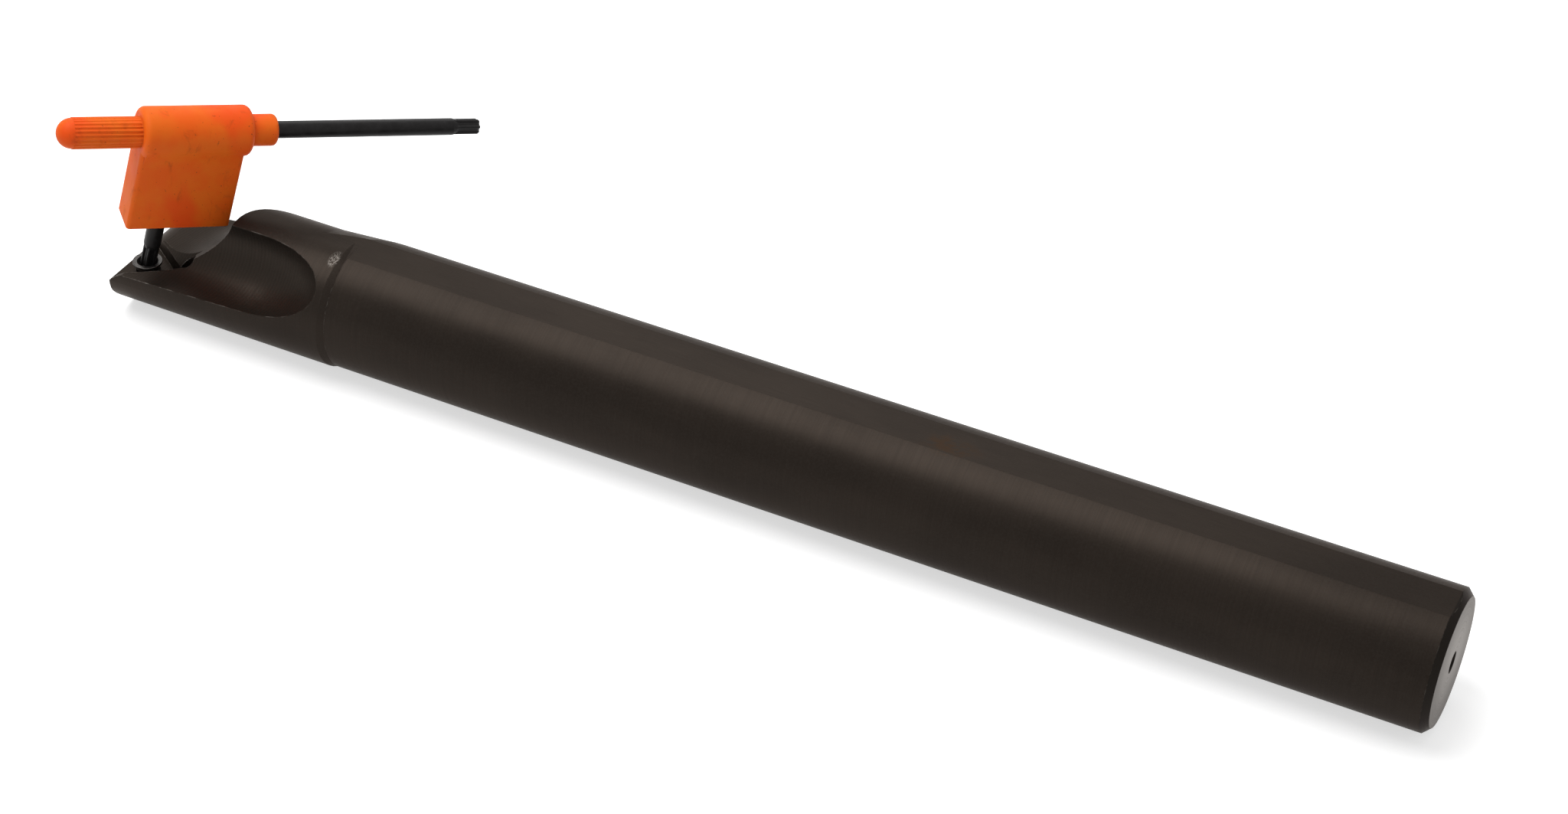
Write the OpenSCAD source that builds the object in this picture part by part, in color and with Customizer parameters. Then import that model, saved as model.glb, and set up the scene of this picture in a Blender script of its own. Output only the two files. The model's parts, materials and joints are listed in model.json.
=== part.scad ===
// Boring bar for a triangular insert, with its clamp screw and flag key.
// The bar lies along X with its nose at minus X, its cutting side at minus Y
// and its flats facing Z. The origin is on the shank's axis, at the front end
// of the full round shank.

/* [Shank] */
// Shank diameter
shank_d = 25; // [24.8:0.1:26]
// Height across the two flats
flat_h = 24; // [23:0.1:24.6]
// Length from the insert's nose to the plain end
bar_l = 256; // [150:1:300]
// Chamfer on the plain end
end_c = 1.25; // [0.5:0.05:2]
// Mouth diameter of the centre hole
centre_d = 4; // [3:0.1:5]
// Pilot diameter of the centre hole
pilot_d = 1.6; // [1:0.1:2]
// Length over which the far side runs out from the head to the full shank
run_in_l = 16.5; // [12:0.5:20]
// Length of that run in which lies on the head
run_in_head = 6; // [4:0.5:8]

/* [Head] */
// Head diameter
head_d = 24.5; // [24.2:0.1:25]
// Head axis moved towards the cutting side
head_off = 0.85; // [0.6:0.05:1]
// Length of the head up to its edge
head_l = 47; // [46:0.1:60]
// Length of the neck and slope from the head's edge to the shank
step_l = 1.4; // [1:0.1:2]
// Height of the same slope
step_h = 0.6; // [0.4:0.1:0.8]
// Distance of the seat's front edge behind the nose
front_x = 1.1; // [0.9:0.1:1.5]
// Lean of the front face below the seat, in degrees
front_lean = 14; // [8:1:16]
// Radius that rounds the walls' front ends down to the seat
front_r = 8.4; // [7:0.1:10]

/* [Insert seat] */
// Distance of the insert's nose from the shank axis
nose_f = 13.5; // [13.3:0.1:13.8]
// Nose radius of the insert
nose_r = 0.8; // [0.4:0.1:0.8]
// Inscribed circle of the insert
insert_ic = 9.525; // [9:0.1:9.8]
// Insert thickness, which sets the seat's depth
insert_t = 3.2; // [3:0.1:3.6]
// Clearance angle of the insert's flanks, in degrees
clear_a = 11; // [7:1:12]
// Approach angle of the front cutting edge, in degrees
approach_a = 95; // [93:1:97]
// Height of the seat's back wall
wall_h = 2.3; // [2:0.1:2.5]
// Lean of the bevel above the back wall, in degrees
ledge_a = 50; // [45:1:60]
// Radius of the relief hole at the seat's rear corner
relief_r = 1.7; // [1.4:0.1:1.8]
// Distance of the relief hole's centre beyond the back wall
relief_out = 0.65; // [0.4:0.05:0.9]

/* [Gullets] */
// Radius across the long side gullet
scoop_r = 8.5; // [8.3:0.1:8.7]
// Distance of the side gullet's axis from the head's axis
scoop_dist = 14.2; // [14.1:0.05:14.5]
// Direction of the side gullet round the head, in degrees from plus Y
scoop_a = 143; // [142:1:144]
// Place along the head where the side gullet starts to run out
scoop_x = 30; // [28:0.5:30]
// Radius of the side gullet's run out
scoop_run = 14.5; // [14:0.5:15]
// Fall of the side gullet towards the nose, in degrees
scoop_tilt = 2.3; // [2:0.1:2.5]
// Cutter radius of the ramp behind the seat
ramp_r = 20.9; // [20.5:0.1:21.5]
// Radius on which the ramp bends round the head
ramp_bend = 28.1; // [27.8:0.1:28.4]
// Place of the ramp's bend centre along the head
ramp_x = 33.1; // [32.5:0.1:33.5]
// Place of the ramp's bend centre across the head
ramp_y = -3; // [-3.4:0.1:-2.6]
// Depth of the ramp's lowest line under the insert's top
ramp_low = 0.6; // [0.4:0.1:0.8]
// Radius of the ramp's run out on the far side
ramp_out = 24; // [20:1:30]

/* [Clamp screw] */
// Thread diameter of the clamp screw
screw_d = 3.9; // [3.7:0.1:4]
// Diameter of the clamp screw's round top
screw_head_d = 5.5; // [5.2:0.1:5.7]
// Height of the screw's top above the seat
screw_top = 1.9; // [1.7:0.1:2.1]
// Length of the screw
screw_len = 8; // [6.5:0.5:9]
// Depth of the six lobe socket
socket_h = 1.7; // [1.6:0.1:2]
// Point to point size of the six lobe socket and key
lobe_d = 3.1; // [3:0.02:3.14]

/* [Flag key] */
// Rod diameter of the key
rod_d = 3.2; // [3.18:0.02:3.4]
// Length of the short arm from the socket to the long arm
arm_short = 32; // [30:0.5:34]
// Length of the long arm
arm_long = 58.8; // [45:0.5:70]
// Length of the six lobe tips
tip_l = 5.4; // [4:0.2:6]
// Clear length of the short arm below the flag
arm_clear = 11.7; // [11:0.1:13]
// Width of the flag along the long arm
flag_w = 19.5; // [17:0.1:22]
// Thickness of the flag
flag_t = 6.5; // [6:0.1:7]
// Diameter of the round bar along the flag's top edge
roll_d = 9.4; // [8.4:0.1:10]
// Length that the round bar stands past the flag at the collar
roll_over = 1; // [0.5:0.1:2]
// Knob diameter over its ribs
knob_d = 5.8; // [5.2:0.1:6.2]
// Knob length
knob_l = 15.1; // [12:0.1:18]
// Number of fine ribs round the knob
knob_ribs = 24; // [16:1:26]
// Collar diameter
collar_d = 5.9; // [5.4:0.1:6.4]
// Collar length
collar_l = 5; // [4:0.2:7]
// Direction the key points, in degrees from plus X
key_turn = 50.4; // [48:0.2:60]
// Lean of the key along its long arm, in degrees
key_dip = 12; // [8:0.5:12]
// Lean of the key across its long arm, in degrees
key_roll = 9.1; // [8:0.1:12]

/* [Part] */
// Which piece to draw

/* [Hidden] */
$fn = 96;
eps = 0.01;
big = 60;
steel = [0.16, 0.15, 0.14];
dark_steel = [0.10, 0.10, 0.10];
orange = [0.80, 0.30, 0.06];

shank_r = shank_d / 2;
head_r = head_d / 2;
shank_x = head_l + step_l;
run_in_x = head_l - run_in_head;
datum_x = run_in_x + run_in_l;
front_low_x = 0.15;
front_top = 0.4;
pilot_l = 2.5;
scoop_lap = 1.2;

// Insert outline in plan, from its nose circle and the approach angle
front_dir = 180 - approach_a;
side_out = front_dir - 60 - 90;
back_out = front_dir - 30;
rear_dir = back_out - 60;
seat_in = insert_ic / 2;
corner_r = insert_ic;
nose_c = [nose_r, nose_r - nose_f];
seat_c = nose_c + (corner_r - 2 * nose_r) * [cos(back_out), sin(back_out)];
seat_z = -insert_t;
relief_back = 1.25;
relief_deep = 0.2;
wall_dir = back_out - 90;
relief_along = corner_r * cos(rear_dir - wall_dir) - relief_back;
relief_c = seat_c + relief_along * [cos(wall_dir), sin(wall_dir)]
    + (seat_in + relief_out) * [cos(back_out), sin(back_out)];

// Screw hole, with the screw running freely in it, and its chamfer
hole_gap = 0.05;
hole_r = screw_d / 2 + hole_gap;
hole_c = 0.35;

// Screw top: a short rim over a 60 degree cone
screw_r = screw_d / 2;
screw_head_r = screw_head_d / 2;
screw_rim = 0.4;
screw_cone = (screw_head_r - screw_r) / tan(30);
screw_z = seat_z + screw_top;
socket_gap = 0.16;
socket_mouth = 0.45;
socket_cone = 1;

// Key, whose tip stands in the socket
tip_deep = 0.9;
tip_z = screw_z - tip_deep;
bend_r = 4;
flag_left = -flag_w / 3 - 0.2;
flag_right = flag_left + flag_w;
flag_edge = 0.7;
roll_edge = 1.2;
rib_r = 0.25;
rib_h = 0.12;
roll_fillet = 8;
collar_edge = 0.8;

// Six lobe section, as shares of its point to point size
lobe_core = 0.385;
lobe_out = 0.39;
lobe_r = 0.11;

// Puts the datum at the front end of the full shank
module placed() {
    translate([-datum_x, 0, 0]) children();
}

// A large block that fills the space below z = 0
module half_space() {
    translate([-big, -big, -2 * big]) cube(2 * big);
}

// A straight or tapered rod along plus X
module rod_x(r, l, r2 = -1) {
    rotate([0, 90, 0]) cylinder(r1 = r, r2 = r2 < 0 ? r : r2, h = l);
}

// A quarter ring from plus Z down to minus X, round the Y axis
module quarter_bend(bend, d) {
    rotate([90, 0, 0]) rotate([0, 0, 90])
        rotate_extrude(angle = 90) translate([bend, 0]) circle(d = d);
}

// Six lobe section of the socket and of the key's tips
module lobe_shape(d, gap = 0) {
    circle(r = d * lobe_core + gap);
    for (i = [0 : 5])
        rotate(60 * i) translate([d * lobe_out, 0]) circle(r = d * lobe_r + gap, $fn = 32);
}

// Shank with its chamfered plain end, and the far side's run in from the head
module shank() {
    difference() {
        union() {
            translate([datum_x, 0, 0]) rod_x(shank_r, bar_l - end_c - datum_x);
            translate([bar_l - end_c, 0, 0]) rod_x(shank_r, end_c, shank_r - end_c);
            intersection() {
                translate([run_in_x, 0, 0]) rod_x(shank_r, run_in_l);
                translate([run_in_x, -head_off, 0])
                    rod_x(head_r, run_in_l, shank_r + head_off);
                union() {
                    translate([head_l, -big, -big]) cube(2 * big);
                    translate([0, 0, -big]) cube(2 * big);
                }
            }
        }
        flats();
        centre_hole();
    }
}

// Head on its own axis, with the slope behind its edge
module head_blank() {
    translate([0, -head_off, 0]) {
        rod_x(head_r, head_l);
        translate([head_l, 0, 0]) rod_x(head_r, step_l, head_r - step_h);
    }
}

module flats() {
    for (side = [0, 180])
        rotate([side, 0, 0])
            translate([run_in_x - 1, -shank_r - 1, flat_h / 2])
                cube([bar_l, shank_d + 2, shank_r]);
}

// Shallow neck behind the head's edge, on the cutting side only
module neck_groove() {
    difference() {
        translate([head_l, -big, -big]) cube([step_l, big, 2 * big]);
        translate([head_l - 1, 0, 0]) rod_x(flat_h / 2, step_l + 2);
        translate([head_l, -head_off, 0]) rod_x(head_r, step_l, head_r - step_h);
    }
}

module centre_hole() {
    cone_l = (centre_d - pilot_d) / 2 / tan(30);
    translate([bar_l - cone_l, 0, 0]) rod_x(pilot_d / 2, cone_l, centre_d / 2);
    translate([bar_l - cone_l - pilot_l, 0, 0]) rod_x(pilot_d / 2, pilot_l + eps);
}

// Front face, leaning forward below the seat, and the walls' rounded front ends
module front_cut() {
    rise = insert_t - front_top;
    run = sqrt(pow(front_r, 2) - pow(front_r - rise, 2));
    translate([front_low_x, 0, 0]) rotate([0, 90, 0]) half_space();
    translate([front_x, 0, seat_z]) {
        rotate([0, 90 + front_lean, 0]) half_space();
        difference() {
            translate([-big, -big, 0]) cube([big + run, 2 * big, big]);
            translate([run, 0, rise - front_r]) rotate([90, 0, 0])
                cylinder(r = front_r, h = 3 * big, center = true);
        }
    }
}

// Space on the seat's side of a wall that leans outwards going up
module inside_wall(out_dir, lean, z) {
    reach = seat_in + z * tan(clear_a);
    translate([seat_c[0], seat_c[1], z]) rotate([0, 0, out_dir])
        translate([reach, 0, 0]) rotate([0, 90 + lean, 0]) half_space();
}

// Seat between its two leaning walls, with the bevel above the back wall
module seat_pocket() {
    bevel_z = seat_z + wall_h;
    intersection() {
        inside_wall(side_out, clear_a, seat_z);
        union() {
            inside_wall(back_out, clear_a, seat_z);
            intersection() {
                inside_wall(back_out, ledge_a, bevel_z);
                translate([relief_c[0], relief_c[1], 0])
                    rotate([0, 0, wall_dir]) rotate([0, 90, 0]) half_space();
            }
        }
        translate([-big / 2, -big / 2, seat_z]) cube([big, big, 3 * insert_t]);
    }
    translate([relief_c[0], relief_c[1], seat_z - relief_deep])
        cylinder(r = relief_r, h = 3 * insert_t);
}

// Long side gullet: straight along the head, then running out on a bend
module scoop() {
    translate([scoop_x, scoop_dist * cos(scoop_a) - head_off, scoop_dist * sin(scoop_a)])
        rotate([0, -scoop_tilt, 0]) {
            rotate([0, -90, 0]) cylinder(r = scoop_r, h = big);
            rotate([scoop_a, 0, 0]) translate([0, scoop_run, 0]) rotate([0, 0, -90 - scoop_lap])
                rotate_extrude(angle = 90 + scoop_lap)
                    translate([scoop_run, 0]) circle(r = scoop_r - eps);
        }
}

// Everything outside the ramp's round cutter track, in section
module ramp_section() {
    circle_z = ramp_r - ramp_low;
    translate([ramp_bend, circle_z]) circle(r = ramp_r);
    translate([ramp_bend, -ramp_low]) square([big, 2 * ramp_r]);
}

// Ramp from the seat up to the crest, bent round the head, with its run out
module ramp() {
    translate([ramp_x, ramp_y, 0]) {
        rotate([0, 0, 90]) rotate_extrude(angle = 180) ramp_section();
        translate([0, ramp_bend - ramp_r + ramp_out, 0])
            rotate([0, 0, -90]) rotate_extrude(angle = 90)
                intersection() {
                    translate([ramp_bend - ramp_r + ramp_out, 0]) mirror([1, 0]) ramp_section();
                    translate([0, -ramp_low]) square([ramp_out, 2 * ramp_r]);
                }
    }
}

module screw_hole() {
    translate([seat_c[0], seat_c[1], 0]) {
        translate([0, 0, -2 * head_r]) cylinder(r = hole_r, h = 2 * head_r);
        translate([0, 0, seat_z - hole_c])
            cylinder(r1 = hole_r, r2 = hole_r + hole_c, h = hole_c);
    }
}

module bar() {
    color(steel) placed()
        difference() {
            union() {
                shank();
                head_blank();
            }
            neck_groove();
            front_cut();
            ramp();
            scoop();
            seat_pocket();
            screw_hole();
        }
}

// Screw with its top at z = 0
module screw_blank() {
    translate([0, 0, -screw_rim]) cylinder(r = screw_head_r, h = screw_rim);
    translate([0, 0, -screw_rim - screw_cone])
        cylinder(r1 = screw_r, r2 = screw_head_r, h = screw_cone);
    translate([0, 0, -screw_len]) cylinder(r = screw_r, h = screw_len - screw_rim);
}

module clamp_screw() {
    color(dark_steel) placed() translate([seat_c[0], seat_c[1], screw_z])
        difference() {
            screw_blank();
            translate([0, 0, -socket_h])
                linear_extrude(socket_h + eps) rotate(key_turn) lobe_shape(lobe_d, socket_gap);
            translate([0, 0, -socket_cone])
                cylinder(r1 = lobe_d / 2, r2 = lobe_d / 2 + socket_mouth, h = socket_cone + eps);
        }
}

// Key frame: origin in the socket, Z up the short arm, X along the long arm
module key_frame() {
    placed() translate([seat_c[0], seat_c[1], tip_z])
        rotate([0, 0, key_turn]) rotate([0, key_dip, 0]) rotate([key_roll, 0, 0]) children();
}

// Round rod of the key above its lower tip, up to x = end
module key_rod(start, end) {
    translate([0, 0, start]) cylinder(d = rod_d, h = arm_short - bend_r - start);
    translate([bend_r, 0, arm_short - bend_r]) quarter_bend(bend_r, rod_d);
    translate([bend_r, 0, arm_short]) rod_x(rod_d / 2, end - bend_r);
}

module key_blade() {
    color(dark_steel) key_frame() {
        linear_extrude(tip_l) lobe_shape(lobe_d);
        key_rod(tip_l, arm_long - tip_l);
        translate([arm_long - tip_l, 0, arm_short]) rotate([0, 90, 0])
            linear_extrude(tip_l) lobe_shape(lobe_d);
    }
}

// Flag section with rounded corners
module flag_section() {
    square([flag_w - 2 * flag_edge, flag_t], center = true);
    square([flag_w, flag_t - 2 * flag_edge], center = true);
    for (x = [-1, 1], y = [-1, 1])
        translate([x * (flag_w / 2 - flag_edge), y * (flag_t / 2 - flag_edge)])
            circle(r = flag_edge, $fn = 32);
}

// Hollow corners that blend the flag's faces into the round bar, in section
module blend_section() {
    side = flag_t / 2 + roll_fillet;
    drop = sqrt(pow(roll_d / 2 + roll_fillet, 2) - pow(side, 2));
    touch = side * roll_d / (roll_d + 2 * roll_fillet);
    difference() {
        translate([-touch, -drop]) square([2 * touch, drop]);
        for (s = [-1, 1])
            translate([s * side, -drop]) circle(r = roll_fillet);
    }
}

// Round bar with rounded ends, along plus X
module round_bar(r, l, edge) {
    translate([edge, 0, 0]) rod_x(r, l - 2 * edge);
    rod_x(r - edge, l);
    for (x = [edge, l - edge])
        translate([x, 0, 0]) rotate([0, 90, 0])
            rotate_extrude() translate([r - edge, 0]) circle(r = edge, $fn = 48);
}

// Ribbed knob with a round end, from x = 0 back to minus X
module knob() {
    core_r = knob_d / 2 - rib_h;
    translate([core_r - knob_l, 0, 0]) {
        sphere(r = core_r);
        rod_x(core_r, knob_l - core_r + eps);
        for (i = [1 : knob_ribs])
            rotate([360 / knob_ribs * i, 0, 0]) translate([0, 0, knob_d / 2 - rib_r])
                rod_x(rib_r, knob_l - core_r);
    }
}

module key_handle() {
    color(orange) key_frame()
        difference() {
            union() {
                translate([(flag_left + flag_right) / 2, 0, arm_clear])
                    linear_extrude(arm_short - arm_clear) flag_section();
                translate([flag_left + flag_edge, 0, arm_short]) rotate([90, 0, 90])
                    linear_extrude(flag_w - 2 * flag_edge) blend_section();
                translate([flag_left, 0, arm_short]) {
                    round_bar(roll_d / 2, flag_w + roll_over, roll_edge);
                    knob();
                }
                translate([flag_right, 0, arm_short])
                    round_bar(collar_d / 2, collar_l + roll_over, collar_edge);
            }
            key_rod(tip_l, arm_long - tip_l);
        }
}

bar();
clamp_screw();
key_blade();
key_handle();
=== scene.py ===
"""Looks of a steel boring bar whose flag key stands in its clamp screw."""

import json
import math

import bpy
import numpy as np
from bpy.props import (
    FloatProperty, FloatVectorProperty, IntProperty, PointerProperty)
from bpy.types import Operator, Panel, PropertyGroup
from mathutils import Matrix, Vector


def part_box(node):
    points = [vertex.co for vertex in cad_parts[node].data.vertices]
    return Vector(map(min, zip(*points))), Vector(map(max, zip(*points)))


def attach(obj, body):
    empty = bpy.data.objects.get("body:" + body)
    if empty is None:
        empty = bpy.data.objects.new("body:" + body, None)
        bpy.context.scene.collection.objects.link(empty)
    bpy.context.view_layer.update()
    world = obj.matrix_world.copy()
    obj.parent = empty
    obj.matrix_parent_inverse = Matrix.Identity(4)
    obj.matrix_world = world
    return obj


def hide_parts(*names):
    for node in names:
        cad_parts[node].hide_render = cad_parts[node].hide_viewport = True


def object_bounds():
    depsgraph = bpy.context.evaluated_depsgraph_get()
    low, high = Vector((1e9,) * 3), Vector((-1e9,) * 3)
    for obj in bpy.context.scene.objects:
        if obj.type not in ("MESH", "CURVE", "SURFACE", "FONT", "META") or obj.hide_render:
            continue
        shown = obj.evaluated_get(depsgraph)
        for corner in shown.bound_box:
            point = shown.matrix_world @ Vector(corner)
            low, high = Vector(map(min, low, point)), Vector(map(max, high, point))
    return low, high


bl_info = {
    "name": "Boring Bar",
    "version": (1, 0, 0),
    "blender": (4, 5, 0),
    "location": "3D View > Sidebar > Boring Bar",
    "description": "Finishes a boring bar, its clamp screw and its flag key on a pale stage",
    "category": "Object",
}

MM = 0.001
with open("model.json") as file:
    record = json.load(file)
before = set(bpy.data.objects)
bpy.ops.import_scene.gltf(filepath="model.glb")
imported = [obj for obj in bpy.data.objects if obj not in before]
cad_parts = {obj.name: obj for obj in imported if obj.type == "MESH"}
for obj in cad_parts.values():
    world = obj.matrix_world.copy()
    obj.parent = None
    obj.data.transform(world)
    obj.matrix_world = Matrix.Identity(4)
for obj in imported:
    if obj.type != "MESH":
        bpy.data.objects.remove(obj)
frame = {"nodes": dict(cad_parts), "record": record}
CAD_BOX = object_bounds()
BAR_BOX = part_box("bar")
SCREW_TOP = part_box("clamp_screw")[1].z
SCREW_PLACE = frame["record"]["behaviour"]["joints"][0]["pos_m"]

# Sizes of the bar in millimetres, for the places of its marks. The head's end and
# the flats' start are counted from the nose, the flats' height from the axis.
HEAD_LENGTH = 46.8
FLAT_START = 40.0
FLAT_HEIGHT = 12.0
HEAD_OFFSET = 0.85
END_CHAMFER = 1.25


# Sizes and colours that a user would change

class BarFinish(PropertyGroup):
    """Black oxide on turned and milled steel"""
    oxide: FloatVectorProperty(
        name="Oxide", description="Colour of the black oxide",
        subtype="COLOR", size=3, min=0, max=1, default=(0.0240, 0.0181, 0.0143))
    oxide_dark: FloatVectorProperty(
        name="Dark oxide", description="Colour of the darker clouds in the oxide",
        subtype="COLOR", size=3, min=0, max=1, default=(0.0185, 0.0139, 0.0110))
    bare: FloatVectorProperty(
        name="Bare steel", description="Colour of steel where the oxide is cut or worn away",
        subtype="COLOR", size=3, min=0, max=1, default=(0.38, 0.365, 0.35))
    roughness: FloatProperty(
        name="Roughness", description="Roughness of the oxide",
        min=0.1, max=1, default=0.36)
    wear: FloatProperty(
        name="Edge wear", description="How bright the edges are rubbed",
        min=0, max=1, default=0.8)


class KeyFinish(PropertyGroup):
    """Flag key: black rod and orange moulding"""
    rod: FloatVectorProperty(
        name="Rod", description="Colour of the key's black rod",
        subtype="COLOR", size=3, min=0, max=1, default=(0.011, 0.010, 0.010))
    moulding: FloatVectorProperty(
        name="Moulding", description="Colour of the orange moulding",
        subtype="COLOR", size=3, min=0, max=1, default=(0.85, 0.150, 0.009))
    grime_and_shade: FloatVectorProperty(
        name="Grime", description="Colour of the grime on the moulding",
        subtype="COLOR", size=3, min=0, max=1, default=(0.10, 0.022, 0.008))
    grime_and_shade_amount: FloatProperty(
        name="Grime amount", description="How much grime the moulding carries",
        min=0, max=1, default=0.65)


class KeySizes(PropertyGroup):
    """Sizes of the key's rod, which follow the part's source"""
    rod_d: FloatProperty(
        name="Rod diameter", description="Diameter of the key's rod",
        subtype="DISTANCE", unit="LENGTH", default=3.2 * MM)
    lobe_d: FloatProperty(
        name="Tip size", description="Point to point size of the six lobe tips",
        subtype="DISTANCE", unit="LENGTH", default=3.1 * MM)
    tip_l: FloatProperty(
        name="Tip length", description="Length of the fluted tips",
        subtype="DISTANCE", unit="LENGTH", default=5.4 * MM)
    short_arm: FloatProperty(
        name="Short arm", description="Length of the arm that stands in the screw",
        subtype="DISTANCE", unit="LENGTH", default=32 * MM)
    long_arm: FloatProperty(
        name="Long arm", description="Length of the arm under the hand",
        subtype="DISTANCE", unit="LENGTH", default=58.8 * MM)
    bend_r: FloatProperty(
        name="Bend radius", description="Radius of the bend between the arms",
        subtype="DISTANCE", unit="LENGTH", default=4 * MM)
    tip_depth: FloatProperty(
        name="Tip depth", description="Depth of the tip below the top of the screw",
        subtype="DISTANCE", unit="LENGTH", default=0.9 * MM)
    turn: FloatProperty(
        name="Turn", description="Direction of the long arm from plus X",
        subtype="ANGLE", unit="ROTATION", default=math.radians(50.4))
    dip: FloatProperty(
        name="Dip", description="Lean of the key along its long arm",
        subtype="ANGLE", unit="ROTATION", default=math.radians(12))
    roll: FloatProperty(
        name="Roll", description="Lean of the key across its long arm",
        subtype="ANGLE", unit="ROTATION", default=math.radians(9.1))


class ScrewSizes(PropertyGroup):
    """Sizes of the clamp screw, which follow the part's source"""
    thread_d: FloatProperty(
        name="Thread diameter", description="Diameter over the thread's crests",
        subtype="DISTANCE", unit="LENGTH", default=3.9 * MM)
    pitch: FloatProperty(
        name="Pitch", description="Pitch of the thread",
        subtype="DISTANCE", unit="LENGTH", default=0.7 * MM)
    depth: FloatProperty(
        name="Thread depth", description="Depth of the thread's grooves",
        subtype="DISTANCE", unit="LENGTH", default=0.36 * MM)
    top_d: FloatProperty(
        name="Top diameter", description="Diameter of the screw's round top",
        subtype="DISTANCE", unit="LENGTH", default=5.5 * MM)
    rim: FloatProperty(
        name="Rim", description="Height of the rim above the cone",
        subtype="DISTANCE", unit="LENGTH", default=0.4 * MM)
    length: FloatProperty(
        name="Length", description="Length of the screw",
        subtype="DISTANCE", unit="LENGTH", default=8 * MM)
    socket_depth: FloatProperty(
        name="Socket depth", description="Depth of the six lobe socket",
        subtype="DISTANCE", unit="LENGTH", default=1.7 * MM)
    socket_gap: FloatProperty(
        name="Socket gap", description="Room round the key in the socket",
        subtype="DISTANCE", unit="LENGTH", default=0.16 * MM)
    lobes: IntProperty(
        name="Lobes", description="Number of lobes of the socket and the key",
        min=3, max=12, default=6)


class StageSettings(PropertyGroup):
    """Floor, lamps and camera"""
    floor: FloatVectorProperty(
        name="Floor", description="Colour of the floor",
        subtype="COLOR", size=3, min=0, max=1, default=(0.74, 0.74, 0.74))
    floor_lift: FloatProperty(
        name="Floor lift", description="White added to the floor where the background shows it",
        min=0, max=1, default=0.6)
    room: FloatProperty(
        name="Room light", description="Strength of the even light of the room",
        min=0, max=2, default=0.42)
    softbox: FloatProperty(
        name="Softbox", description="Power of the softbox above the object",
        subtype="POWER", min=0, default=5.0)
    rear_softbox: FloatProperty(
        name="Rear softbox", description="Power of the softbox behind the object",
        subtype="POWER", min=0, default=1.3)
    camera_place: FloatVectorProperty(
        name="Camera place", description="Where the camera stands",
        subtype="TRANSLATION", unit="LENGTH", size=3,
        default=(262.707 * MM, -397.734 * MM, 344.659 * MM))
    camera_turn: FloatVectorProperty(
        name="Camera turn", description="Camera rotation about X, Y and Z",
        subtype="EULER", unit="ROTATION", size=3,
        default=tuple(math.radians(a) for a in (52.4488, -1.7468, 26.3238)))
    camera_lens: FloatProperty(
        name="Lens", description="Focal length on a 36 mm wide sensor, in millimetres",
        min=10, max=200, default=73.3452)


class BoringBarSettings(PropertyGroup):
    """All the settings of the boring bar"""
    bar: PointerProperty(type=BarFinish)
    key: PointerProperty(type=KeyFinish)
    key_sizes: PointerProperty(type=KeySizes)
    screw: PointerProperty(type=ScrewSizes)
    stage: PointerProperty(type=StageSettings)


# Materials

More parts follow.
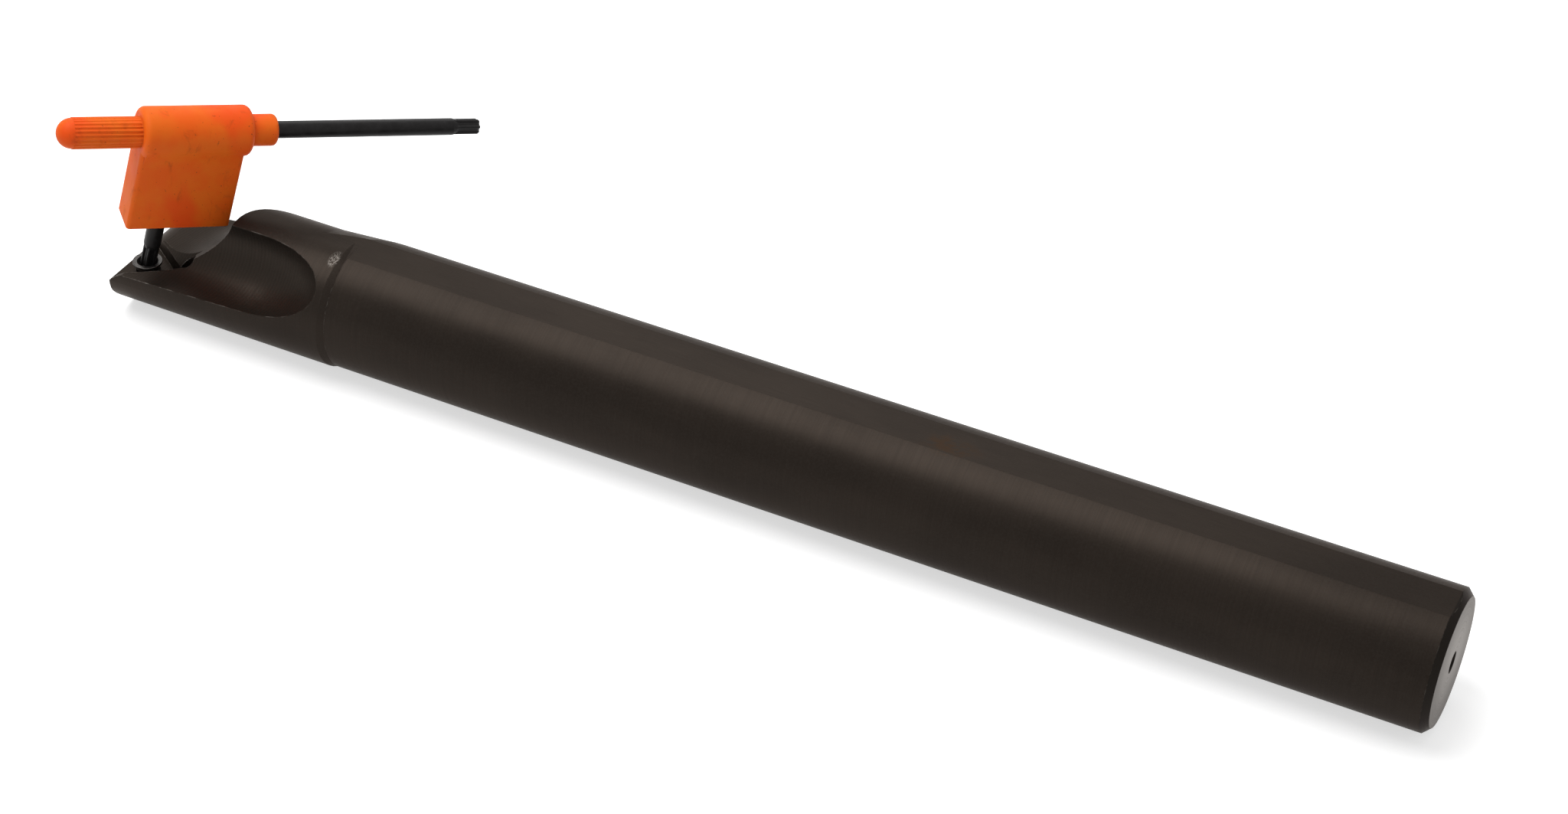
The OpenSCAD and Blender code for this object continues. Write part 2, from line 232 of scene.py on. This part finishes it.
class Graph:
    """A material's node tree, whose nodes are added with their inputs."""

    def __init__(self, name):
        self.material = bpy.data.materials.new(name)
        self.material.use_nodes = True
        self.tree = self.material.node_tree
        self.tree.nodes.clear()
        self.output = self.add("ShaderNodeOutputMaterial")

    @classmethod
    def of_tree(cls, tree):
        """The same helper on an emptied tree that isn't a material's."""
        graph = cls.__new__(cls)
        graph.tree = tree
        tree.nodes.clear()
        return graph

    def add(self, kind, inputs=None, **settings):
        """Adds a node, sets its settings, and gives each input a value or a link."""
        node = self.tree.nodes.new(kind)
        for key, value in settings.items():
            setattr(node, key, value)
        for key, value in (inputs or {}).items():
            self.feed(node.inputs[key], value)
        return node

    def feed(self, socket, value):
        if isinstance(value, bpy.types.NodeSocket):
            self.tree.links.new(value, socket)
        elif hasattr(value, "__len__") and len(value) == 3 and socket.type == "RGBA":
            socket.default_value = (*value, 1)
        else:
            socket.default_value = value

    def math(self, operation, *values, clamp=False):
        node = self.add("ShaderNodeMath", operation=operation, use_clamp=clamp)
        for socket, value in zip(node.inputs, values):
            self.feed(socket, value)
        return node.outputs[0]

    def step(self, value, low, high, out_low=0.0, out_high=1.0):
        """A smooth step from out_low at low to out_high at high."""
        return self.add(
            "ShaderNodeMapRange",
            {"Value": value, "From Min": low, "From Max": high,
             "To Min": out_low, "To Max": out_high},
            interpolation_type="SMOOTHSTEP").outputs["Result"]

    def mix(self, amount, a, b, blend="MIX"):
        """A colour between a and b."""
        node = self.add("ShaderNodeMix", data_type="RGBA", blend_type=blend)
        self.feed(node.inputs[0], amount)
        self.feed(node.inputs[6], a)
        self.feed(node.inputs[7], b)
        return node.outputs[2]

    def blend(self, amount, a, b):
        """A number between a and b."""
        node = self.add("ShaderNodeMix", data_type="FLOAT")
        for socket, value in zip(node.inputs[0:1] + node.inputs[2:4], (amount, a, b)):
            self.feed(socket, value)
        return node.outputs[0]

    def noise(self, vector, scale, detail=3.0, roughness=0.5, distortion=0.0):
        return self.add(
            "ShaderNodeTexNoise",
            {"Vector": vector, "Scale": scale, "Detail": detail,
             "Roughness": roughness, "Distortion": distortion}).outputs["Fac"]

    def place(self, scale=(1, 1, 1), at=(0, 0, 0), turn=(0, 0, 0)):
        """Object coordinates in millimetres, moved to a centre, turned and stretched."""
        coords = self.add("ShaderNodeTexCoord").outputs["Object"]
        return self.add(
            "ShaderNodeMapping",
            {"Vector": coords, "Location": [-s * a for s, a in zip(scale, at)],
             "Rotation": turn, "Scale": [s / MM for s in scale]}).outputs[0]

    def length(self, vector):
        node = self.add("ShaderNodeVectorMath", {0: vector}, operation="LENGTH")
        return node.outputs["Value"]

    def distance(self, a, b):
        """Distance from an axis, given the two coordinates across it."""
        return self.length(self.add("ShaderNodeCombineXYZ", {"X": a, "Y": b}).outputs[0])

    def background_seen(self):
        """1 where the background is seen directly, in a reflection or through glass."""
        path = self.add("ShaderNodeLightPath").outputs
        direct = self.math("MAXIMUM", path["Is Camera Ray"], path["Is Glossy Ray"])
        return self.math("MAXIMUM", direct, path["Is Transmission Ray"])

    def axes(self, vector):
        return self.add("ShaderNodeSeparateXYZ", {"Vector": vector}).outputs

    def edges(self, radius, low, high):
        """How sharp the nearest edge is, and the rounded normal there."""
        soft = self.add("ShaderNodeBevel", {"Radius": radius}, samples=6).outputs[0]
        plain = self.add("ShaderNodeNewGeometry").outputs["Normal"]
        dot = self.add(
            "ShaderNodeVectorMath", {0: soft, 1: plain}, operation="DOT_PRODUCT")
        bend = self.math("SUBTRACT", 1.0, dot.outputs["Value"])
        return self.step(bend, low, high), soft

    def bump(self, height, distance, strength, normal=None):
        inputs = {"Height": height, "Distance": distance, "Strength": strength}
        if normal is not None:
            inputs["Normal"] = normal
        return self.add("ShaderNodeBump", inputs).outputs[0]

    def surface(self, **inputs):
        """The Principled shader, on the output."""
        names = {key.replace("_", " "): value for key, value in inputs.items()}
        shader = self.add("ShaderNodeBsdfPrincipled", names)
        self.feed(self.output.inputs["Surface"], shader.outputs[0])
        return self.material


def bar_material(finish):
    """Black oxide: turned rings round the shank, ground flats, milled gullets,
    a faced end of bare steel and edges that are rubbed bright. Some colour is painted light: a
    lighter tone lifts the gullets' shade, the faced end has a painted highlight round its centre,
    and the head's shoulder a painted glint."""
    g = Graph("blackened_steel")
    x, y, z = g.axes(g.place())
    nose, end = BAR_BOX[0].x / MM, BAR_BOX[1].x / MM
    head_end, flat_start = nose + HEAD_LENGTH, nose + FLAT_START
    radius = g.distance(y, z)
    faced = g.step(x, end - 0.07, end - 0.03)
    flat = g.math(
        "MULTIPLY", g.step(z, FLAT_HEIGHT - 0.03, FLAT_HEIGHT - 0.01),
        g.step(x, flat_start - 0.2, flat_start))

    # Clouds and streaks in the oxide
    clouds = g.noise(g.place((0.035, 0.09, 0.09)), 1.0, 4.0, 0.55)
    specks = g.noise(g.place(), 2.6, 4.0, 0.6)
    rings = g.noise(g.place((5.0, 0.06, 0.06)), 1.0, 4.0, 0.65)
    grain = g.noise(g.place((0.15, 7.0, 7.0)), 1.0, 3.0, 0.6)
    oxide = g.mix(g.step(clouds, 0.35, 0.68), finish.oxide, finish.oxide_dark)
    oxide = g.mix(g.step(specks, 0.30, 0.75, 0.0, 0.35), oxide, (0.031, 0.026, 0.022))
    lines = g.mix(flat, rings, grain)
    oxide = g.mix(g.step(lines, 0.30, 0.70, 0.0, 0.30), oxide, (0.014, 0.011, 0.009))

    # A faint brown stain on the flat
    stain = g.length(g.place((0.20, 0.42, 0.3), at=(nose + 166.5, -1.5, FLAT_HEIGHT)))
    blotch = g.noise(g.place((0.5, 0.8, 0.8)), 1.0, 4.0, 0.6)
    stain = g.math("MULTIPLY", g.step(stain, 1.5, 0.3), g.step(blotch, 0.40, 0.62, 0.0, 0.8))
    oxide = g.mix(stain, oxide, (0.030, 0.016, 0.008))

    # Milled gullets and seat: every surface well inside the head's diameter. Their lighter tone in
    # bands gives faint tool marks and is also painted light that lifts the shade of the concave
    # gullets.
    head_radius = g.distance(g.math("ADD", y, HEAD_OFFSET), z)
    milled = g.math(
        "MULTIPLY", g.step(head_radius, 12.20, 12.12), g.step(x, head_end, head_end - 0.4))
    marks = g.add(
        "ShaderNodeTexWave",
        {"Vector": g.place((0.9, 0.35, 0.5), turn=(0, 0, 0.5)), "Scale": 0.55,
         "Distortion": 1.2, "Detail": 2.0, "Detail Scale": 1.4},
        bands_direction="X").outputs["Fac"]
    oxide = g.mix(
        g.math("MULTIPLY", milled, g.step(marks, 0.2, 0.9, 0.25, 0.75)), oxide,
        (0.028, 0.0222, 0.0178))

    # Bare steel on the faced end, with fine turned circles, a painted highlight round its centre,
    # and a dark chamfer
    circles = g.noise(
        g.add("ShaderNodeCombineXYZ", {"X": g.math("MULTIPLY", radius, 3.2)}).outputs[0],
        1.0, 5.0, 0.7)
    bare = g.mix(g.step(circles, 0.30, 0.72), finish.bare, (0.26, 0.248, 0.238))
    bevelled = g.step(x, end - END_CHAMFER - 0.05, end - END_CHAMFER + 0.03)
    oxide = g.mix(g.math("MULTIPLY", bevelled, 0.7), oxide, (0.008, 0.007, 0.006))
    stains = g.noise(g.place((0.2, 0.2, 0.2), at=(3, 5, 7)), 1.0, 3.0, 0.6)
    bare = g.mix(g.step(stains, 0.5, 0.8, 0.0, 0.35), bare, (0.15, 0.135, 0.12))
    # Painted highlight: the faced end is lighter round its centre and darker towards its rim
    bare = g.mix(g.step(radius, 3.0, 10.5, 0.0, 0.75), bare, (0.15, 0.14, 0.133))
    colour = g.mix(faced, oxide, bare)

    # Edges rubbed bright in patches, most of all round the seat
    sharp, rounded = g.edges(0.24 * MM, 0.008, 0.12)
    patches = g.step(g.noise(g.place((0.5, 0.8, 0.8)), 1.0, 4.0, 0.65), 0.42, 0.72)
    near_seat = g.step(x, nose + 26, nose + 14, 0.45, 1.0)
    rub = g.math("MULTIPLY", g.math("MULTIPLY", sharp, patches), near_seat)

    # A rubbed spot of worn steel on the head's shoulder, which is also a painted glint
    rubbed_glint = g.length(g.place((1.0, 0.55, 0.4), at=(head_end - 0.7, -4.3, 11.2)))
    scratched = g.step(g.noise(g.place((6.0, 2.0, 2.0)), 1.0, 3.0, 0.6), 0.45, 0.62)
    rubbed_glint = g.math("MULTIPLY", g.step(rubbed_glint, 1.25, 0.5, 0.0, 0.55), scratched)
    rub = g.math("MAXIMUM", rub, rubbed_glint)
    rub = g.math("MULTIPLY", rub, finish.wear, clamp=True)
    # Rubbed edges are wear; the shoulder's spot is part wear and part painted glint
    colour = g.mix(rub, colour, (0.34, 0.31, 0.28))

    # Roughness and height
    rough = g.math("ADD", finish.roughness - 0.06, g.math("MULTIPLY", lines, 0.12))
    rough = g.math("ADD", rough, g.step(specks, 0.35, 0.8, 0.0, 0.07))
    rough = g.mix(faced, rough, g.step(circles, 0.2, 0.8, 0.30, 0.46))
    rough = g.mix(rub, rough, (0.28, 0.28, 0.28))
    fine = g.noise(g.place(), 5.0, 3.0, 0.6)
    height = g.math("ADD", g.math("MULTIPLY", lines, 0.5), g.math("MULTIPLY", fine, 0.35))
    height = g.math("ADD", height, g.math("MULTIPLY", g.math("MULTIPLY", marks, milled), 0.8))
    height = g.math("ADD", height, g.math("MULTIPLY", g.math("MULTIPLY", circles, faced), 0.6))
    normal = g.bump(height, 0.010 * MM, 0.55, rounded)
    return g.surface(
        Base_Color=colour, Metallic=0.6, Roughness=rough, Specular_IOR_Level=0.15,
        Specular_Tint=(0.47, 0.43, 0.40, 1), Normal=normal)


def rod_material(finish):
    """Black coating on the key's rod, with faint drawn lines along it and rubs."""
    g = Graph("key_steel")
    streaks = g.noise(g.place((0.5, 0.5, 0.5)), 1.0, 5.0, 0.6)
    specks = g.noise(g.place(), 3.5, 3.0, 0.6)
    colour = g.mix(g.step(streaks, 0.35, 0.7, 0.0, 0.6), finish.rod, (0.020, 0.019, 0.019))
    sharp, rounded = g.edges(0.10 * MM, 0.02, 0.2)
    rub = g.math("MULTIPLY", sharp, g.step(specks, 0.35, 0.7, 0.1, 0.6))
    colour = g.mix(rub, colour, (0.16, 0.15, 0.145))
    rough = g.step(streaks, 0.25, 0.75, 0.34, 0.48)
    return g.surface(
        Base_Color=colour, Metallic=0.3, Roughness=rough, Specular_IOR_Level=0.16,
        Normal=g.bump(specks, 0.006 * MM, 0.5, rounded))


def screw_material(finish):
    """Dark screw steel whose rim is worn bright."""
    g = Graph("screw_steel")
    specks = g.noise(g.place(), 2.2, 4.0, 0.6)
    colour = g.mix(g.step(specks, 0.3, 0.7), (0.050, 0.045, 0.042), (0.10, 0.095, 0.09))
    sharp, rounded = g.edges(0.10 * MM, 0.01, 0.12)
    rub = g.math("MULTIPLY", sharp, g.step(specks, 0.3, 0.62, 0.35, 1.0))
    colour = g.mix(rub, colour, (0.50, 0.485, 0.47))
    return g.surface(
        Base_Color=colour, Metallic=0.9, Roughness=g.step(specks, 0.2, 0.8, 0.28, 0.42),
        Normal=g.bump(specks, 0.008 * MM, 0.5, rounded))


def moulding_material(finish):
    """Orange moulding with soft scuffs, a fine spark eroded grain and dark grime, painted shade in
    its hollows and a painted highlight on its edges.
    """
    g = Graph("orange_plastic")
    clouds = g.noise(g.place(), 0.16, 4.0, 0.6)
    smears = g.noise(g.place((0.4, 0.4, 0.16)), 1.0, 5.0, 0.62, 0.6)
    specks = g.noise(g.place(), 1.5, 3.0, 0.55)
    colour = g.mix(
        g.step(clouds, 0.32, 0.7, 0.0, 0.6), finish.moulding, (0.86, 0.098, 0.005))
    ruddy = g.noise(g.place((0.10, 0.10, 0.05), at=(-40, -6, 20)), 1.0, 2.0, 0.5)
    colour = g.mix(g.step(ruddy, 0.50, 0.68, 0.0, 0.55), colour, (0.86, 0.055, 0.005))
    sharp, rounded = g.edges(0.25 * MM, 0.02, 0.30)
    # Painted shade: ambient occlusion darkens the moulding in its hollows, mixed with real grime
    # in smears and specks
    occlusion = g.add("ShaderNodeAmbientOcclusion", {"Distance": 1.6 * MM}, samples=8).outputs["AO"]
    hollow_shade = g.step(occlusion, 0.9, 0.4)
    grime_and_shade = g.math("MULTIPLY", g.step(smears, 0.56, 0.78), 0.5)
    grime_and_shade = g.math("MAXIMUM", grime_and_shade, g.math("MULTIPLY", hollow_shade, 0.3))
    grime_and_shade = g.math("MAXIMUM", grime_and_shade, g.step(specks, 0.67, 0.73, 0.0, 0.8))
    grime_and_shade = g.math("MULTIPLY", grime_and_shade, finish.grime_and_shade_amount, clamp=True)
    colour = g.mix(grime_and_shade, colour, finish.grime_and_shade)
    # Painted highlight: every sharp edge of the moulding is a lighter orange
    colour = g.mix(g.math("MULTIPLY", sharp, 0.25), colour, (0.92, 0.22, 0.03))
    rough = g.step(smears, 0.3, 0.75, 0.52, 0.66)
    height = g.math(
        "ADD", g.noise(g.place(), 3.2, 3.0, 0.6), g.math("MULTIPLY", clouds, 1.5))
    return g.surface(
        Base_Color=colour, Roughness=rough, Specular_IOR_Level=0.16, Subsurface_Weight=0.12,
        Subsurface_Radius=(1.6, 0.5, 0.15), Subsurface_Scale=0.5 * MM,
        Normal=g.bump(height, 0.012 * MM, 0.5, rounded))


def floor_material(stage):
    """A pale matt floor, lifted to white where it is seen as the background."""
    g = Graph("pale_floor")
    matt = g.add("ShaderNodeBsdfDiffuse", {"Color": stage.floor}).outputs[0]
    glow = g.math("MULTIPLY", g.background_seen(), stage.floor_lift)
    lift = g.add("ShaderNodeEmission", {"Color": (1, 1, 1), "Strength": glow}).outputs[0]
    both = g.add("ShaderNodeAddShader", {0: matt, 1: lift}).outputs[0]
    g.feed(g.output.inputs["Surface"], both)
    return g.material


def dress(node, material):
    """Gives a CAD node's slots one material."""
    mesh = frame["nodes"][node].data
    mesh.materials.clear()
    mesh.materials.append(material)


# Surfaces

def mesh_from_grid(name, points):
    """A closed mesh from points[s, t]: t runs round and closes on itself, s runs
    from one pole to the other, and both end rows meet in one point each."""
    rows, cols = points.shape[:2]
    inner = points[1:-1].reshape(-1, 3)
    verts = np.vstack([inner, points[0, :1], points[-1, :1]])
    s, t = np.meshgrid(np.arange(rows - 3), np.arange(cols), indexing="ij")
    after = (t + 1) % cols
    quads = np.stack(
        [s * cols + t, s * cols + after, (s + 1) * cols + after, (s + 1) * cols + t],
        axis=-1).reshape(-1, 4)
    ring = np.arange(cols)
    turned = (ring + 1) % cols
    start, end, last = len(inner), len(inner) + 1, (rows - 3) * cols
    caps = np.vstack([
        np.stack([np.full(cols, start), turned, ring], axis=-1),
        np.stack([np.full(cols, end), last + ring, last + turned], axis=-1)])
    mesh = bpy.data.meshes.new(name)
    mesh.from_pydata(verts.tolist(), [], quads.tolist() + caps.tolist())
    mesh.shade_smooth()
    mesh.update()
    piece = bpy.data.objects.new(name, mesh)
    bpy.context.scene.collection.objects.link(piece)
    return piece


def lobe_radius(angle, size, lobes, gap=0.0):
    """Radius of the six lobe outline: a core circle of 0.385 of the size, and on
    each lobe a circle of 0.11 of the size whose centre lies 0.39 of it out. Both
    circles grow by the gap. A ray at the angle a from the lobe's axis leaves the
    lobe's circle at c cos a + sqrt(r r - c c sin a sin a)."""
    a = (angle + math.pi / lobes) % (2 * math.pi / lobes) - math.pi / lobes
    c, r = 0.39 * size, 0.11 * size + gap
    inside = np.maximum(r * r - (c * np.sin(a)) ** 2, 0.0)
    lobe = np.where(inside > 0, c * np.cos(a) + np.sqrt(inside), 0.0)
    return np.maximum(0.385 * size + gap, lobe)


def screw_points(screw, key):
    """The screw as radius and height over the angle t and the way s along its
    section: up the threaded shank, up the cone, over the rim, and down the
    socket. The thread takes depth times a rounded triangle wave of z / pitch
    less t / one turn off the radius. The socket's radius is the larger of the
    lobes and of the cone at its mouth."""
    t = np.linspace(0, 2 * math.pi, 144, endpoint=False)
    r, top, edge = screw.thread_d / 2, screw.top_d / 2, 0.07 * MM
    cone = (top - r) / math.tan(math.radians(30))
    neck = -screw.rim - cone

    shank_z = np.linspace(-screw.length, neck, 150)
    shank_r = np.full_like(shank_z, r)
    lead = np.clip((shank_z + screw.length) / (0.5 * MM), 0, 1)
    shank_r -= (1 - lead) * 0.35 * MM
    arc = np.linspace(0, math.pi / 2, 6)
    outer = np.array(
        [(r + (top - r) * f, neck + cone * f) for f in np.linspace(0.02, 0.98, 8)]
        + [(top, -screw.rim + 0.02 * MM), (top, -screw.rim * 0.6)]
        + [(top - edge + edge * math.cos(a), -edge + edge * math.sin(a)) for a in arc]
        + [(f * MM, 0.0) for f in (2.5, 2.3, 2.15, 2.06)])
    mouth, mouth_depth, size = 0.45 * MM, 1.0 * MM, key.lobe_d
    inner_z = np.concatenate([
        np.linspace(-0.02 * MM, -mouth_depth, 12),
        np.linspace(-mouth_depth - 0.05 * MM, -screw.socket_depth, 6)])
    fade = np.clip((neck - shank_z) / (0.5 * MM), 0, 1)
    wave = np.abs(2 * ((shank_z[:, None] / screw.pitch - t / (2 * math.pi)) % 1.0) - 1)
    thread = screw.depth * (0.5 - 0.5 * np.cos(math.pi * wave)) * fade[:, None]
    radius = [np.zeros((1, t.size)), shank_r[:, None] - thread,
              np.repeat(outer[:, :1], t.size, axis=1)]
    height = [np.full(1, -screw.length), shank_z, outer[:, 1]]
    cone_r = size / 2 + mouth * np.clip(1 + inner_z / mouth_depth, 0, 1)
    cone_r = np.where(inner_z < -mouth_depth, 0.0, cone_r)
    lobes = lobe_radius(t - key.turn, size, screw.lobes, screw.socket_gap)
    radius += [np.maximum(cone_r[:, None], lobes[None, :]), np.zeros((1, t.size))]
    height += [inner_z, np.full(1, -screw.socket_depth)]
    radius, height = np.vstack(radius), np.concatenate(height)
    return np.stack([
        SCREW_PLACE[0] + radius * np.cos(t), SCREW_PLACE[1] + radius * np.sin(t),
        SCREW_TOP + np.repeat(height[:, None], t.size, axis=1)], axis=-1)


def rod_points(key, lobes):
    """The key's rod as a section carried along the short arm, the bend and the
    long arm. The section's radius goes from the lobes on the tips to the round
    rod over a short run out, where it is the larger of the lobes and of a cone,
    and both ends have a small chamfer."""
    t = np.linspace(0, 2 * math.pi, 144, endpoint=False)
    r, run = key.rod_d / 2, 1.1 * MM
    quarter = key.bend_r * math.pi / 2
    up, along = key.short_arm - key.bend_r, key.long_arm - key.bend_r
    total = up + quarter + along
    tip = np.concatenate([
        np.linspace(0, 0.35 * MM, 5), np.linspace(0.7 * MM, key.tip_l - run, 12),
        np.linspace(key.tip_l - run * 0.92, key.tip_l + 0.1 * MM, 14)])
    s = np.concatenate([
        tip, np.linspace(key.tip_l + 0.6 * MM, up, 24), up + quarter * np.linspace(0.08, 1, 14),
        np.linspace(up + quarter + 0.5 * MM, total - key.tip_l - 0.6 * MM, 40), total - tip[::-1]])
    from_end = np.minimum(s, total - s)
    chamfer = 0.25 * MM * np.clip(1 - from_end / (0.35 * MM), 0, 1)
    grow = np.clip((from_end - key.tip_l + run) / run, 0, 1)
    cone = 0.36 * key.lobe_d + (r - 0.36 * key.lobe_d) * np.sqrt(grow)
    section = lobe_radius(t, key.lobe_d, lobes)[None, :]
    radius = np.maximum(section, cone[:, None]) - chamfer[:, None]
    radius = np.where((grow >= 1)[:, None], r, np.minimum(radius, r))

    # Middle line: up Z, a quarter turn, then along X
    bend = np.clip((s - up) / quarter, 0, 1) * math.pi / 2
    reach = np.maximum(s - up - quarter, 0)
    mid_x = key.bend_r * (1 - np.cos(bend)) + reach
    mid_z = np.minimum(s, up) + key.bend_r * np.sin(bend)
    side_x, side_z = np.cos(bend)[:, None], -np.sin(bend)[:, None]
    points = np.stack([
        mid_x[:, None] + radius * np.cos(t) * side_x, radius * np.sin(t),
        mid_z[:, None] + radius * np.cos(t) * side_z], axis=-1)
    ends = [np.tile([[[0.0, 0.0, 0.0]]], (1, t.size, 1)),
            np.tile([[[key.long_arm, 0.0, key.short_arm]]], (1, t.size, 1))]
    points = np.concatenate([ends[0], points, ends[1]])
    return points @ key_turning(key).T + key_origin(key)


def key_turning(key):
    """The key's lean and direction: a roll about X, a dip about Y, a turn about Z."""
    cx, sx, cy, sy, cz, sz = (
        f(a) for a in (key.roll, key.dip, key.turn) for f in (math.cos, math.sin))
    about_x = np.array([[1, 0, 0], [0, cx, -sx], [0, sx, cx]])
    about_y = np.array([[cy, 0, sy], [0, 1, 0], [-sy, 0, cy]])
    about_z = np.array([[cz, -sz, 0], [sz, cz, 0], [0, 0, 1]])
    return about_z @ about_y @ about_x


def key_origin(key):
    return np.array([SCREW_PLACE[0], SCREW_PLACE[1], SCREW_TOP - key.tip_depth])


# Operators, one for each piece and one for the stage

class BORINGBAR_OT_bar(Operator):
    """Finish the bar in black oxide"""
    bl_idname = "boringbar.bar"
    bl_label = "Bar"

    def execute(self, context):
        dress("bar", bar_material(context.scene.boring_bar.bar))
        return {"FINISHED"}


class BORINGBAR_OT_screw(Operator):
    """Make the clamp screw with its thread and its socket"""
    bl_idname = "boringbar.screw"
    bl_label = "Clamp Screw"

    def execute(self, context):
        settings = context.scene.boring_bar
        piece = mesh_from_grid(
            "clamp_screw_turned", screw_points(settings.screw, settings.key_sizes))
        piece.data.materials.append(screw_material(settings.bar))
        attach(piece, "screw_body")
        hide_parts("clamp_screw")
        return {"FINISHED"}


class BORINGBAR_OT_key_blade(Operator):
    """Make the key's bent rod with its fluted tips"""
    bl_idname = "boringbar.key_blade"
    bl_label = "Key Blade"

    def execute(self, context):
        settings = context.scene.boring_bar
        piece = mesh_from_grid(
            "key_rod", rod_points(settings.key_sizes, settings.screw.lobes))
        piece.data.materials.append(rod_material(settings.key))
        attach(piece, "screw_body")
        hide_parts("key_blade")
        return {"FINISHED"}


class BORINGBAR_OT_key_handle(Operator):
    """Finish the key's handle as an orange moulding"""
    bl_idname = "boringbar.key_handle"
    bl_label = "Key Handle"

    def execute(self, context):
        dress("key_handle", moulding_material(context.scene.boring_bar.key))
        return {"FINISHED"}


class BORINGBAR_OT_stage(Operator):
    """Set the pale floor, the soft light and the camera"""
    bl_idname = "boringbar.stage"
    bl_label = "Stage"

    def execute(self, context):
        stage = context.scene.boring_bar.stage
        self.lay_floor(stage)
        self.light_room(context.scene, stage)
        self.hang_softbox("softbox", stage.softbox, 0.7, (-0.20, -0.08, 0.76))
        self.hang_softbox("rear_softbox", stage.rear_softbox, 0.55, (-0.28, 0.72, 0.62))
        self.set_camera(context.scene, stage)
        return {"FINISHED"}

    def lay_floor(self, stage):
        half, z = 3.0, CAD_BOX[0][2]
        mesh = bpy.data.meshes.new("floor")
        corners = [(-half, -half, z), (half, -half, z), (half, half, z), (-half, half, z)]
        mesh.from_pydata(corners, [], [(0, 1, 2, 3)])
        floor = bpy.data.objects.new("floor", mesh)
        bpy.context.scene.collection.objects.link(floor)
        mesh.materials.append(floor_material(stage))

    def light_room(self, scene, stage):
        """Even room light; as a background, and in reflections, it is white."""
        world = bpy.data.worlds.new("room")
        world.use_nodes = True
        g = Graph.of_tree(world.node_tree)
        strength = g.blend(g.background_seen(), stage.room, 1.0)
        background = g.add(
            "ShaderNodeBackground", {"Color": (1, 1, 1), "Strength": strength}).outputs[0]
        g.feed(g.add("ShaderNodeOutputWorld").inputs["Surface"], background)
        scene.world = world

    def hang_softbox(self, name, power, size, place):
        lamp = bpy.data.lights.new(name, "AREA")
        lamp.shape = "DISK"
        lamp.size = size
        lamp.energy = power
        holder = bpy.data.objects.new(name, lamp)
        holder.location = place
        aim = Vector((0.07, 0, 0)) - holder.location
        holder.rotation_euler = aim.to_track_quat("-Z", "Y").to_euler()
        bpy.context.scene.collection.objects.link(holder)

    def set_camera(self, scene, stage):
        data = bpy.data.cameras.new("camera")
        data.sensor_width = 36
        data.lens = stage.camera_lens
        data.clip_start, data.clip_end = 0.01, 20
        camera = bpy.data.objects.new("camera", data)
        camera.location = stage.camera_place
        camera.rotation_euler = stage.camera_turn
        scene.collection.objects.link(camera)
        scene.camera = camera
        scene.view_settings.view_transform = "Standard"


class BORINGBAR_PT_panel(Panel):
    """Lists the boring bar's pieces and their settings"""
    bl_label = "Boring Bar"
    bl_idname = "BORINGBAR_PT_panel"
    bl_space_type = "VIEW_3D"
    bl_region_type = "UI"
    bl_category = "Boring Bar"

    def draw(self, context):
        settings = context.scene.boring_bar
        for operator, groups in STEPS:
            box = self.layout.box()
            box.operator(operator.bl_idname)
            for group in groups:
                values = getattr(settings, group)
                for name in values.__annotations__:
                    box.prop(values, name)


STEPS = (
    (BORINGBAR_OT_bar, ("bar",)),
    (BORINGBAR_OT_screw, ("screw",)),
    (BORINGBAR_OT_key_blade, ("key_sizes",)),
    (BORINGBAR_OT_key_handle, ("key",)),
    (BORINGBAR_OT_stage, ("stage",)),
)
CLASSES = (
    BarFinish, KeyFinish, KeySizes, ScrewSizes, StageSettings, BoringBarSettings,
    *(operator for operator, _ in STEPS), BORINGBAR_PT_panel)


def register():
    for cls in CLASSES:
        bpy.utils.register_class(cls)
    bpy.types.Scene.boring_bar = PointerProperty(type=BoringBarSettings)


def unregister():
    del bpy.types.Scene.boring_bar
    for cls in reversed(CLASSES):
        bpy.utils.unregister_class(cls)


def main():
    register()
    bpy.ops.boringbar.bar()
    bpy.ops.boringbar.screw()
    bpy.ops.boringbar.key_blade()
    bpy.ops.boringbar.key_handle()
    bpy.ops.boringbar.stage()


if __name__ == "__main__":
    main()
